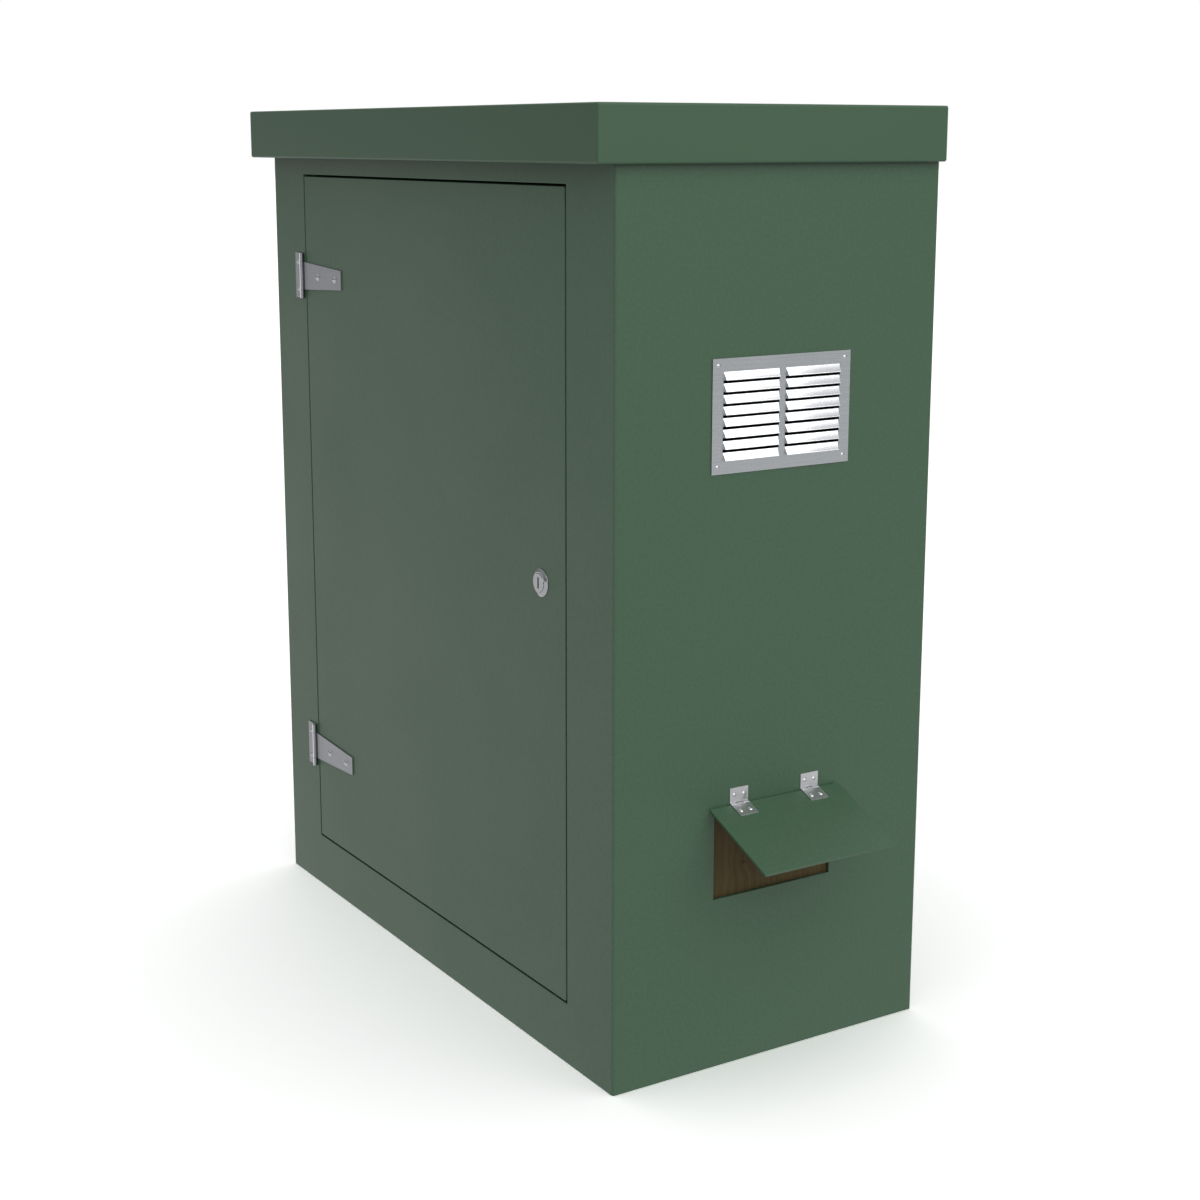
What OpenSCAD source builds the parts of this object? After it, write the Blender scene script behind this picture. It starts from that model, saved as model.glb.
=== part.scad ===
// Roadside utility cabinet: a moulded glass-fibre kiosk with one side-hung door, a louvred vent
// and a small flap over a cable hatch. Millimetres, +Z up. The origin is on the ground at the
// middle of the body's footprint. The door faces -Y; the vent and the hatch face +X.

/* [Body] */
// Width of the body, side to side
body_w = 1000; // [800:10:1400]
// Depth of the body, front to back
body_d = 504; // [400:2:700]
// Height from the ground to the lower edge of the roof cap
body_h = 1182; // [950:1:1500]
// Thickness of the moulded walls
wall_t = 5; // [4:0.5:7]
// Radius of the upright outside edges
body_r = 4; // [2:0.5:5]
// Thickness of the ring that is bonded inside the foot of the walls
base_t = 6; // [4:1:10]
// Width of the base ring
base_ring_w = 60; // [50:1:80]
// Radius of the anchor holes in the base ring
anchor_r = 7; // [5:0.5:8]
// Thickness of the flange that carries the roof
top_t = 5; // [4:0.5:8]
// How far the top flange reaches in from the walls
top_flange = 40; // [34:1:60]

/* [Roof cap] */
// Height of the cap's skirt, top face included
cap_h = 71; // [60:1:100]
// How far the cap overhangs the front
cap_front = 33; // [20:1:60]
// How far the cap overhangs each side
cap_side = 13.5; // [9:0.5:30]
// Thickness of the cap
cap_t = 5; // [4:0.5:7]
// Radius of the cap's outside edges
cap_r = 3; // [2:0.5:4]
// Gap between the cap's skirt and the stepped-in rear wall
cap_gap = 1; // [0.5:0.5:3]
// Thickness of the seal under the cap
roof_seal_t = 3; // [2:0.5:5]

/* [Door] */
// Width of the front face left on each side of the door opening
frame_side = 111.5; // [90:0.5:150]
// Height of the front face left between the door opening and the cap
frame_top = 24.9; // [20:0.1:60]
// Height of the front face left below the door opening
frame_bottom = 84.6; // [60:0.1:120]
// Gap between the door and its opening
door_gap = 3; // [2:0.5:4]
// Depth of the door's folded edge
door_depth = 20; // [18:1:24]
// Thickness of the door skin
door_t = 4; // [3:0.5:6]
// Thickness of the board bonded inside the door
door_board_t = 12; // [9:1:14]
// Depth from the front face to the back of the stop lip
rebate_depth = 30; // [26:1:36]
// Width of the frame's flange that is bonded behind the front wall
bond_w = 16; // [10:1:17]
// Width of the stop lip inside the opening
lip_w = 14; // [12:1:20]
// Thickness of the stop lip
lip_t = 4; // [3:0.5:6]
// Free gap between the closed door and the seal
seal_clear = 0.5; // [0.4:0.1:1]

/* [Door hinges] */
// Distance of the upper hinge's middle below the top of the door opening
upper_hinge_drop = 155.6; // [60:0.1:260]
// Distance of the lower hinge's middle above the foot of the door opening
lower_hinge_rise = 153.4; // [60:0.1:260]
// Height of the fixed leaf and of the barrel
leaf_h = 70; // [60:1:90]
// Width of the fixed leaf from its outer edge to the pin
leaf_w = 26; // [22:0.5:36]
// Thickness of both leaves
leaf_t = 2.2; // [1.5:0.1:3]
// Distance of the pin from the edge of the door opening
pin_inset = 7.5; // [6:0.5:10]
// Radius of the barrel
barrel_r = 3.3; // [3:0.1:4]
// Radius of the pin
pin_r = 2; // [1.5:0.1:2.2]
// Length of the strap from the pin to its tip
strap_l = 138; // [110:1:200]
// Height of the strap at its root
strap_root = 43.2; // [36:0.2:50]
// Height of the strap at its tip
strap_tip = 29; // [20:0.5:40]
// Distances of the two strap bolts from the pin
strap_bolts = [55.5, 115.7];
// Height between the two leaf bolts
leaf_bolt_gap = 42; // [34:1:50]
// Radius of the hinge bolts' shanks
bolt_r = 2.5; // [2:0.25:3]

/* [Lock] */
// Distance of the lock's middle from the door's edge
lock_inset = 60.5; // [45:0.5:90]
// Height of the lock above the ground
lock_z = 646.5; // [400:0.5:900]
// Radius of the bezel
bezel_r = 19; // [16:0.5:22]
// Radius of the turning plug's face
plug_r = 12.5; // [11:0.5:13]
// How far the plug stands out of the door
plug_out = 4.4; // [4:0.2:6]
// How far the turned cam reaches behind the stop lip
cam_catch = 10.5; // [6:0.5:12]
// Width of the cam
cam_w = 18; // [16:1:22]
// Thickness of the cam
cam_t = 3; // [2:0.5:4]

/* [Vent] */
// Width of the vent's flange
vent_w = 217.7; // [200:0.1:240]
// Height of the vent's flange
vent_h = 145.3; // [130:0.1:170]
// Distance of the vent's middle below the cap
vent_drop = 309.8; // [200:0.1:320]
// Thickness of the vent's sheet
vent_t = 1.5; // [1:0.1:2]
// Louvres in each column
louvre_rows = 8; // [4:1:8]
// Distance from one louvre to the next
louvre_pitch = 14.48; // [13:0.01:15]
// Height of the open slot below each louvre
louvre_slot = 2.4; // [2:0.1:3]
// Width of a column of louvres
louvre_w = 87.7; // [80:0.1:90]
// Width of the plain bar between the columns
vent_bar = 9.4; // [8:0.1:14]
// How far a louvre stands out of the sheet
louvre_out = 4.4; // [3:0.1:6]
// Inset of the vent's rivets from the flange's edges
vent_inset = 9; // [7:0.5:10]

/* [Hatch and flap] */
// Width of the hatch opening
hatch_w = 191.7; // [160:0.1:220]
// Height of the hatch opening
hatch_h = 114; // [90:1:140]
// Height of the opening's lower edge above the ground
hatch_z = 236; // [200:1:300]
// How far the flap covers the wall on each side of the opening
flap_lap = 10; // [6:0.5:15]
// How far the flap covers the wall below the opening
flap_drop = 5.3; // [4:0.1:10]
// Thickness of the flap
flap_t = 3.5; // [3:0.1:5]
// Height of the flap's pins above the opening
flap_pin_up = 11.7; // [9:0.1:16]
// Angle of the flap from closed, as it stands open
flap_open = 67.4; // [0:0.1:140]
// Distance of each flap hinge from the middle
flap_hinge_y = 57.8; // [40:0.1:75]
// Length of a flap hinge along its pin
flap_leaf_w = 29; // [24:0.5:36]
// Height of the leaf on the wall
flap_leaf_h = 22.6; // [18:0.2:26]
// Length of the leaf on the flap
flap_leaf_l = 23.5; // [18:0.5:30]
// Radius of the flap hinge's barrel
flap_barrel_r = 2.5; // [2.2:0.1:3]
// Radius of the flap hinge's pin
flap_pin_r = 1.25; // [1:0.05:1.4]

/* [Boards] */
// Thickness of the backboard
backboard_t = 18; // [12:1:25]
// Clear margin between the backboard and the side walls
backboard_side = 45; // [30:1:80]
// Height of the backboard's lower edge
backboard_z = 60; // [40:1:120]
// Clear height between the backboard's upper edge and the cap's lower edge
backboard_top = 42; // [20:1:100]
// Thickness of the two battens
batten_t = 20; // [15:1:30]
// Width of the two battens
batten_w = 44; // [34:1:60]
// Thickness of the board that lines the hatch side
lining_t = 12; // [9:1:15]
// Height of the lining's lower edge
lining_z = 25; // [15:1:60]
// Clear height between the lining and the vent's flange
lining_gap = 29.5; // [10:0.5:60]

/* [Hidden] */
$fn = 48;

// Small sizes that several pieces share.
eps = 0.01;
fit = 0.05;          // radial clearance of a pin in its knuckle
hole_clear = 0.2;    // radial clearance of a bolt in its hole
run = 0.3;           // gap between pieces that move past each other

// Body.
front_y = -body_d / 2;
rear_y = body_d / 2;
side_x = body_w / 2;
step = cap_t + cap_gap;                  // the rear wall steps in by this under the cap
shell_top = body_h + cap_h - cap_t - roof_seal_t;
neck_h = shell_top - body_h;
anchor_inset = wall_t + base_ring_w / 2;
roof_bolt_inset = wall_t + top_flange / 2;

// Door opening.
aperture_w = body_w - 2 * frame_side;
aperture_h = body_h - frame_bottom - frame_top;
door_w = aperture_w - 2 * door_gap;
door_h = aperture_h - 2 * door_gap;
aperture_mid = frame_bottom + aperture_h / 2;
lip_back = front_y + rebate_depth;
lip_front = lip_back - lip_t;
door_back = front_y + door_depth;
seal_w = lip_w - 4;

// Door hinges.
upper_hinge_z = body_h - frame_top - upper_hinge_drop;
lower_hinge_z = frame_bottom + lower_hinge_rise;
pin_x = -aperture_w / 2 - pin_inset;
pin_y = front_y - run - barrel_r;
strap_relief = 0.4;
bolt_head_r = 5.5;
bolt_head_h = 3;
leaf_head_r = 4;
leaf_head_h = 2.4;
nut_af = 8;
nut_h = 4;
board_back = front_y + door_t + door_board_t;

// Lock.
lock_x = door_w / 2 - lock_inset;
cam_l = lock_inset + door_gap - lip_w + cam_catch;
lock_barrel_r = 11;
lock_shaft_r = 7;
lock_square = 8;
bezel_rim = 1;
cam_front = lip_back + 2;
cam_screw_r = 2.5;
strike_t = 1.5;
strike_h = 80;

// Vent.
vent_z = body_h - vent_drop;
rivet_r = 1.6;
rivet_head_r = 3;
rivet_head_h = 1.3;
rivet_tail_r = 2.1;
rivet_tail_h = 1.5;
mesh_t = 1;
louvre_h = louvre_pitch - louvre_slot;
louvre_lip = 1.6;
louvre_taper = 2.2;
louvre_t = 1.2;
louvre_run = louvre_pitch * (louvre_rows - 1) + louvre_h;
louvre_top = vent_z + louvre_run / 2;
vent_cut_w = 2 * louvre_w + vent_bar + 3;
vent_cut_h = louvre_run + 4;

// Hatch and flap.
flap_axis_z = hatch_z + hatch_h + flap_pin_up;
flap_axis_x = side_x + run + flap_barrel_r;
flap_gap = 0.4;
flap_leaf_t = 1.2;
flap_w = hatch_w + 2 * flap_lap;
flap_tip = flap_axis_z - hatch_z + flap_drop;      // from the pin to the flap's lower edge
flap_outer = side_x + flap_gap + flap_t - flap_axis_x;   // outer face, measured from the pin
flap_screw_gap = 15;
flap_screw_up = 12.8;
flap_screw_out = 14.5;
flap_screw_r = 1.5;
flap_head_r = 2.8;
flap_head_h = 1.3;

// Boards.
backboard_h = body_h - backboard_top - backboard_z;
batten_zs = [backboard_z + 160, backboard_z + backboard_h - 160];
lining_top = vent_z - vent_h / 2 - lining_gap;
board_front = rear_y - wall_t - batten_t - backboard_t;
backboard_w = body_w - 2 * wall_t - 2 * backboard_side;
wood_screw_r = 2.5;
wood_screw_in = 12;
wood_head_r = 5;
wood_sink = 2.8;
lining_d = body_d - 2 * wall_t - 79;

grp = [0.30, 0.39, 0.32];
ply = [0.62, 0.47, 0.30];
zinc = [0.62, 0.64, 0.66];
alu = [0.74, 0.75, 0.77];
chrome = [0.80, 0.81, 0.83];
epdm = [0.06, 0.06, 0.06];

// ---- shared shapes ----

// Flat rectangle with round corners, about its middle.
module round_rect(w, d, r) {
  square([w - 2 * r, d], center = true);
  square([w, d - 2 * r], center = true);
  for (sx = [-1, 1], sy = [-1, 1])
    translate([sx * (w / 2 - r), sy * (d / 2 - r)]) circle(r);
}

// Upright block with every edge rounded, standing on z = 0.
module round_block(w, d, h, r) {
  translate([0, 0, r]) linear_extrude(h - 2 * r) round_rect(w, d, r);
  translate([0, 0, h / 2]) cube([w - 2 * r, d - 2 * r, h], center = true);
  for (z = [r, h - r]) {
    for (s = [-1, 1]) {
      translate([0, s * (d / 2 - r), z]) rotate([0, 90, 0])
        cylinder(r = r, h = w - 2 * r, center = true);
      translate([s * (w / 2 - r), 0, z]) rotate([90, 0, 0])
        cylinder(r = r, h = d - 2 * r, center = true);
    }
    for (sx = [-1, 1], sy = [-1, 1])
      translate([sx * (w / 2 - r), sy * (d / 2 - r), z]) sphere(r);
  }
}

// Rectangular ring in the XZ plane, from y0 to y1: the outside is w by h, the band is b wide.
module front_ring(w, h, b, y0, y1) {
  translate([0, y1, aperture_mid]) rotate([90, 0, 0]) linear_extrude(y1 - y0)
    difference() {
      square([w, h], center = true);
      square([w - 2 * b, h - 2 * b], center = true);
    }
}

// Shallow dome of base radius r and height h, standing on z = 0.
module dome(r, h) {
  ball = (r * r + h * h) / (2 * h);
  intersection() {
    translate([0, 0, h - ball]) sphere(ball, $fn = 96);
    cylinder(r = r + 1, h = h + 1);
  }
}

// Hexagonal nut with its hole along Z.
module nut(af, h, hole) {
  difference() {
    cylinder(d = af / cos(30), h = h, $fn = 6);
    translate([0, 0, -1]) cylinder(r = hole, h = h + 2);
  }
}

// Turns a child that stands along +Z to stand out of the front face, along -Y.
module on_front(x, y, z) {
  translate([x, y, z]) rotate([90, 0, 0]) children();
}

// Turns a child that stands along +Z to stand out of the hatch side, along +X.
module on_side(x, y, z) {
  translate([x, y, z]) rotate([0, 90, 0]) children();
}

// ---- body ----

// Places its children at the six roof bolts, on the top flange's underside.
module at_roof_bolts() {
  for (x = [-side_x + roof_bolt_inset, 0, side_x - roof_bolt_inset])
    for (y = [front_y + roof_bolt_inset, rear_y - step - roof_bolt_inset])
      translate([x, y, shell_top - top_t]) children();
}

// The hollow inside the walls, open at the foot and closed by the top flange.
module shell_hollow() {
  in_w = body_w - 2 * wall_t;
  in_d = body_d - 2 * wall_t;
  translate([0, 0, -1]) linear_extrude(body_h - wall_t + 1) round_rect(in_w, in_d, 2);
  translate([0, -step / 2, -1]) linear_extrude(shell_top - top_t + 1) round_rect(in_w, in_d - step, 2);
}

module vent_holes(r) {
  for (sy = [-1, 1], sz = [-1, 1])
    on_side(side_x - wall_t - 5, sy * (vent_w / 2 - vent_inset), vent_z + sz * (vent_h / 2 - vent_inset))
      cylinder(r = r, h = wall_t + 10);
}

// Places its children at the flap hinge screws in the wall, facing out.
module at_wall_screws() {
  for (s = [-1, 1], k = [-1, 1])
    on_side(side_x + flap_leaf_t, s * flap_hinge_y + k * flap_screw_gap / 2, flap_axis_z + flap_screw_up)
      children();
}

// Places its children at the fixed leaves' bolts, facing out of the front.
module at_leaf_bolts(y) {
  for (hz = [upper_hinge_z, lower_hinge_z], s = [-1, 1])
    on_front(pin_x - leaf_w + 11, y, hz + s * leaf_bolt_gap / 2) children();
}

module at_strike_rivets() {
  for (s = [-1, 1])
    on_side(aperture_w / 2 + wall_t + strike_t, lip_back - 8, lock_z + s * (strike_h / 2 - 12))
      children();
}

module body_shell() color(grp) {
  difference() {
    union() {
      linear_extrude(body_h) round_rect(body_w, body_d, body_r);
      translate([0, -step / 2, body_h - eps]) linear_extrude(neck_h + eps)
        round_rect(body_w, body_d - step, body_r);
    }
    shell_hollow();
    translate([0, front_y, aperture_mid]) cube([aperture_w, 4 * wall_t, aperture_h], center = true);
    translate([0, -step / 2, shell_top]) linear_extrude(4 * top_t, center = true)
      round_rect(body_w - 2 * wall_t - 2 * top_flange, body_d - step - 2 * wall_t - 2 * top_flange, 10);
    at_roof_bolts() translate([0, 0, -1]) cylinder(r = 3 + hole_clear, h = top_t + 2);
    translate([side_x, 0, vent_z]) cube([4 * wall_t, vent_cut_w, vent_cut_h], center = true);
    translate([side_x, 0, hatch_z + hatch_h / 2]) cube([4 * wall_t, hatch_w, hatch_h], center = true);
    vent_holes(rivet_r + hole_clear);
    at_wall_screws() translate([0, 0, -flap_leaf_t - wall_t - 1])
      cylinder(r = flap_screw_r + hole_clear, h = wall_t + 2);
    at_leaf_bolts(front_y) translate([0, 0, -wall_t - 1]) cylinder(r = bolt_r + hole_clear, h = wall_t + 2);
  }
}

// Flat ring inside the foot of the walls, with the anchor holes.
module base_ring() color(grp) {
  in_w = body_w - 2 * wall_t;
  in_d = body_d - 2 * wall_t;
  difference() {
    linear_extrude(base_t) difference() {
      round_rect(in_w, in_d, 2);
      round_rect(in_w - 2 * base_ring_w, in_d - 2 * base_ring_w, 20);
    }
    for (sx = [-1, 1], sy = [-1, 1])
      translate([sx * (side_x - anchor_inset), sy * (rear_y - anchor_inset), -1])
        cylinder(r = anchor_r, h = base_t + 2);
  }
}

// Frame bonded behind the door opening: a flange on the wall, a return edge and a stop lip.
module door_frame() color(grp) {
  inner = front_y + wall_t;
  difference() {
    union() {
      front_ring(aperture_w + 2 * bond_w, aperture_h + 2 * bond_w, bond_w, inner, inner + lip_t);
      front_ring(aperture_w + 2 * wall_t, aperture_h + 2 * wall_t, wall_t, inner, lip_back);
      front_ring(aperture_w + 2 * wall_t, aperture_h + 2 * wall_t, wall_t + lip_w, lip_front, lip_back);
    }
    at_strike_rivets() translate([0, 0, -strike_t - wall_t - 1])
      cylinder(r = rivet_r + hole_clear, h = wall_t + 2);
  }
}

module roof_cap() color(grp) {
  cap_w = body_w + 2 * cap_side;
  cap_d = body_d + cap_front;
  difference() {
    union() {
      difference() {
        translate([0, -cap_front / 2, body_h]) round_block(cap_w, cap_d, cap_h, cap_r);
        translate([0, -cap_front / 2, body_h - cap_t]) linear_extrude(cap_h)
          round_rect(cap_w - 2 * cap_t, cap_d - 2 * cap_t, 1.5);
      }
      at_roof_bolts() translate([0, 0, top_t]) cylinder(r = 9, h = roof_seal_t + 1);
    }
    at_roof_bolts() cylinder(r = 3, h = top_t + roof_seal_t + 3.5);
  }
}

module roof_seal() color(epdm) {
  translate([0, -step / 2, shell_top]) linear_extrude(roof_seal_t) difference() {
    round_rect(body_w - 4, body_d - step - 4, 3);
    round_rect(body_w - 24, body_d - step - 24, 3);
  }
}

module roof_bolts() color(zinc) {
  at_roof_bolts() {
    translate([0, 0, -1.6]) cylinder(r = 6.5, h = 1.6);
    translate([0, 0, -5.6]) cylinder(d = 10 / cos(30), h = 4.1, $fn = 6);
    translate([0, 0, -1]) cylinder(r = 3 - fit, h = 1 + top_t + roof_seal_t + 3);
  }
}

// ---- boards ----

// Places its children at the backboard's screws, facing forward from its front.
module at_backboard_screws() {
  for (z = batten_zs, k = [-1.5, -0.5, 0.5, 1.5])
    on_front(k * (backboard_w - 90) / 3, board_front, z) children();
}

module backboard() color(ply) {
  difference() {
    translate([-backboard_w / 2, board_front, backboard_z]) cube([backboard_w, backboard_t, backboard_h]);
    at_backboard_screws() {
      translate([0, 0, -backboard_t - 1]) cylinder(r = wood_screw_r + hole_clear, h = backboard_t + 2);
      translate([0, 0, -wood_sink]) cylinder(r1 = wood_screw_r + fit, r2 = wood_head_r + fit, h = wood_sink);
    }
  }
}

module battens() color(ply) {
  difference() {
    for (z = batten_zs)
      translate([-backboard_w / 2 + 10, board_front + backboard_t, z - batten_w / 2])
        cube([backboard_w - 20, batten_t, batten_w]);
    at_backboard_screws() translate([0, 0, -backboard_t - wood_screw_in - 1])
      cylinder(r = wood_screw_r + fit, h = backboard_t + wood_screw_in + 2);
  }
}

module backboard_screws() color(zinc) {
  at_backboard_screws() {
    translate([0, 0, -wood_sink]) cylinder(r1 = wood_screw_r, r2 = wood_head_r, h = wood_sink);
    translate([0, 0, -backboard_t - wood_screw_in])
      cylinder(r = wood_screw_r, h = backboard_t + wood_screw_in - wood_sink + eps);
  }
}

module side_lining() color(ply) {
  difference() {
    translate([side_x - wall_t - lining_t, lip_back + 8, lining_z])
      cube([lining_t, lining_d, lining_top - lining_z]);
    at_wall_screws() translate([0, 0, -flap_leaf_t - wall_t - 9]) cylinder(r = flap_screw_r + fit, h = 12);
  }
}

// ---- vent ----

// One louvre pressed out of the sheet, hanging down from z = 0 and open at its lower edge.
module louvre() {
  difference() {
    louvre_block(0, 0);
    louvre_block(louvre_t, 1);
  }
}

// The louvre's outer form, or with wall > 0 the hollow behind it.
module louvre_block(wall, past) {
  back = vent_t + past;
  out = louvre_out - 1.08 * wall;
  intersection() {
    translate([0, louvre_w / 2, 0]) rotate([90, 0, 0]) linear_extrude(louvre_w) polygon([
      [-back, 0], [-1.08 * wall, 0], [out, louvre_lip - louvre_h],
      [out, -louvre_h - past], [-back, -louvre_h - past]
    ]);
    translate([0, 0, -louvre_h - past]) linear_extrude(louvre_h + past) polygon([
      for (s = [-1, 1], p = s < 0 ? [0, 1, 2] : [2, 1, 0])
        [[-back, 0, louvre_out][p], s * (louvre_w / 2 - wall - (p == 2 ? louvre_taper : 0))]
    ]);
  }
}

module vent_grille() color(alu) {
  difference() {
    union() {
      difference() {
        translate([side_x, -vent_w / 2, vent_z - vent_h / 2]) cube([vent_t, vent_w, vent_h]);
        for (s = [-1, 1])
          translate([side_x, s * (vent_bar + louvre_w) / 2, vent_z])
            cube([4 * vent_t, louvre_w, louvre_run], center = true);
      }
      for (s = [-1, 1], i = [0:louvre_rows - 1])
        translate([side_x + vent_t, s * (vent_bar + louvre_w) / 2, louvre_top - i * louvre_pitch]) louvre();
    }
    vent_holes(rivet_r + hole_clear);
  }
}

module insect_mesh() color(zinc) {
  difference() {
    translate([side_x - wall_t - mesh_t, -vent_w / 2, vent_z - vent_h / 2]) cube([mesh_t, vent_w, vent_h]);
    vent_holes(rivet_r + hole_clear);
  }
}

// Round-headed rivet through a stack, along Z, with its head above z = 0.
module rivet(stack) {
  dome(rivet_head_r, rivet_head_h);
  translate([0, 0, -stack - 0.5]) cylinder(r = rivet_r, h = stack + 1);
  translate([0, 0, -stack - rivet_tail_h]) cylinder(r = rivet_tail_r, h = rivet_tail_h);
}

module vent_rivets() color(alu) {
  for (sy = [-1, 1], sz = [-1, 1])
    on_side(side_x + vent_t, sy * (vent_w / 2 - vent_inset), vent_z + sz * (vent_h / 2 - vent_inset))
      rivet(vent_t + wall_t + mesh_t);
}

// ---- door opening ----

module door_seal() color(epdm) {
  front_ring(aperture_w - 2, aperture_h - 2, seal_w, door_back + seal_clear, lip_front);
}

// Angle strip that the cam bears on, round the back corner of the opening's edge.
module strike_plate() color(zinc) {
  corner_x = aperture_w / 2 + wall_t;
  difference() {
    union() {
      translate([aperture_w / 2 - lip_w, lip_back, lock_z - strike_h / 2])
        cube([lip_w + wall_t + strike_t, strike_t, strike_h]);
      translate([corner_x, lip_back - 16, lock_z - strike_h / 2]) cube([strike_t, 16 + strike_t, strike_h]);
    }
    at_strike_rivets() translate([0, 0, -strike_t - 1]) cylinder(r = rivet_r + hole_clear, h = strike_t + 2);
  }
}

module strike_rivets() color(alu) {
  at_strike_rivets() {
    dome(rivet_head_r, rivet_head_h);
    translate([0, 0, -strike_t - wall_t]) cylinder(r = rivet_r, h = strike_t + wall_t + 0.5);
  }
}

// ---- door hinges ----

// Three-part barrel along Z about the pin: the strap has the middle, the leaf the two ends.
module knuckle(z0, z1) {
  difference() {
    translate([0, 0, z0]) cylinder(r = barrel_r, h = z1 - z0);
    translate([0, 0, z0 - 1]) cylinder(r = pin_r + fit, h = z1 - z0 + 2);
  }
}

module hinge_leaf(z) color(zinc) {
  half = strap_root / 2 + run;
  difference() {
    union() {
      translate([pin_x, pin_y, z]) for (s = [0, 1]) mirror([0, 0, s]) knuckle(half, leaf_h / 2);
      difference() {
        translate([pin_x - leaf_w, front_y - leaf_t, z - leaf_h / 2]) cube([leaf_w, leaf_t, leaf_h]);
        translate([pin_x, pin_y, z]) cylinder(r = barrel_r + run, h = 2 * half, center = true);
        translate([pin_x - run, pin_y - barrel_r, z - half]) cube([barrel_r + 1, 3 * barrel_r, 2 * half]);
        translate([pin_x, pin_y, z]) cylinder(r = pin_r + fit, h = leaf_h + 2, center = true);
      }
    }
    at_leaf_bolts(front_y - leaf_t) translate([0, 0, -leaf_t - 1])
      cylinder(r = bolt_r + hole_clear, h = leaf_t + 2);
  }
}
module upper_hinge_leaf() hinge_leaf(upper_hinge_z);
module lower_hinge_leaf() hinge_leaf(lower_hinge_z);

module hinge_pin(z) color(zinc) {
  translate([pin_x, pin_y, z]) cylinder(r = pin_r, h = leaf_h - 2, center = true);
}
module upper_hinge_pin() hinge_pin(upper_hinge_z);
module lower_hinge_pin() hinge_pin(lower_hinge_z);

module hinge_strap(z) color(zinc) {
  root_x = barrel_r - 0.6;
  edge_x = -door_w / 2 - pin_x;
  difference() {
    translate([pin_x, 0, z]) union() {
      translate([0, pin_y, 0]) knuckle(-strap_root / 2, strap_root / 2);
      translate([0, front_y, 0]) rotate([90, 0, 0]) linear_extrude(leaf_t) polygon([
        [root_x, -strap_root / 2], [strap_l, -strap_tip / 2],
        [strap_l, strap_tip / 2], [root_x, strap_root / 2]
      ]);
    }
    translate([pin_x, front_y - strap_relief, z - strap_root]) cube([edge_x, 2 * barrel_r, 2 * strap_root]);
    translate([pin_x, pin_y, z]) cylinder(r = pin_r + fit, h = 2 * strap_root, center = true);
    at_strap_bolts() translate([0, 0, -leaf_t - 1]) cylinder(r = bolt_r + hole_clear, h = leaf_t + 2);
  }
}
module upper_hinge_strap() hinge_strap(upper_hinge_z);
module lower_hinge_strap() hinge_strap(lower_hinge_z);

// Places its children at the strap bolts, facing out of the straps' faces.
module at_strap_bolts() {
  for (hz = [upper_hinge_z, lower_hinge_z], x = strap_bolts)
    on_front(pin_x + x, front_y - leaf_t, hz) children();
}

// Round-headed bolt along Z with its head above z = 0.
module round_bolt(head_r, head_h, shank) {
  dome(head_r, head_h);
  translate([0, 0, -shank]) cylinder(r = bolt_r, h = shank + 0.5);
}

module hinge_leaf_bolts() color(zinc) {
  at_leaf_bolts(front_y - leaf_t) round_bolt(leaf_head_r, leaf_head_h, leaf_t + wall_t + nut_h + 2);
}
module hinge_leaf_nuts() color(zinc) {
  at_leaf_bolts(front_y + wall_t + nut_h) nut(nut_af, nut_h, bolt_r + fit);
}
module hinge_strap_bolts() color(zinc) {
  at_strap_bolts() round_bolt(bolt_head_r, bolt_head_h, leaf_t + door_t + door_board_t + nut_h + 2);
}
module hinge_strap_nuts() color(zinc) {
  at_strap_bolts() translate([0, 0, -leaf_t - door_t - door_board_t - nut_h])
    nut(nut_af, nut_h, bolt_r + fit);
}

// ---- door ----

module door_holes(depth) {
  at_strap_bolts() translate([0, 0, -leaf_t - depth]) cylinder(r = bolt_r + hole_clear, h = depth + 1);
  on_front(lock_x, front_y, lock_z) translate([0, 0, -depth])
    cylinder(r = lock_barrel_r + hole_clear, h = depth + 1);
}

module door_skin() color(grp) {
  edge_w = (door_w - 2 * door_t);
  edge_h = (door_h - 2 * door_t);
  difference() {
    translate([0, door_back, aperture_mid]) rotate([90, 0, 0]) linear_extrude(door_depth)
      round_rect(door_w, door_h, 3);
    translate([0, door_back + 1, aperture_mid]) rotate([90, 0, 0]) linear_extrude(door_depth - door_t + 1)
      square([edge_w, edge_h], center = true);
    door_holes(door_depth);
  }
}

module door_board() color(ply) {
  edge = 2 * door_t + 2;
  difference() {
    translate([0, board_back, aperture_mid]) rotate([90, 0, 0]) linear_extrude(door_board_t)
      square([door_w - edge, door_h - edge], center = true);
    door_holes(2 * door_depth);
  }
}

// ---- lock ----

// All the lock's pieces are drawn along +Z, out of the door, and placed by this.
module at_lock() {
  on_front(lock_x, front_y, lock_z) children();
}

module lock_body() color(chrome) {
  barrel_end = front_y - cam_front + 0.4;
  at_lock() difference() {
    union() {
      cylinder(r = bezel_r, h = bezel_rim);
      translate([0, 0, bezel_rim])
        cylinder(r1 = bezel_r - 0.4, r2 = plug_r + 2, h = plug_out - 1 - bezel_rim);
      translate([0, 0, barrel_end]) cylinder(r = lock_barrel_r, h = bezel_rim - barrel_end);
    }
    translate([0, 0, bezel_rim]) cylinder(r = plug_r + fit, h = plug_out);
    translate([0, 0, barrel_end - 1]) cylinder(r = lock_shaft_r + fit, h = bezel_rim + 2 - barrel_end);
  }
}

module lock_nut() color(zinc) {
  at_lock() translate([0, 0, -door_t - door_board_t - 5]) nut(27, 5, lock_barrel_r + fit);
}

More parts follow.
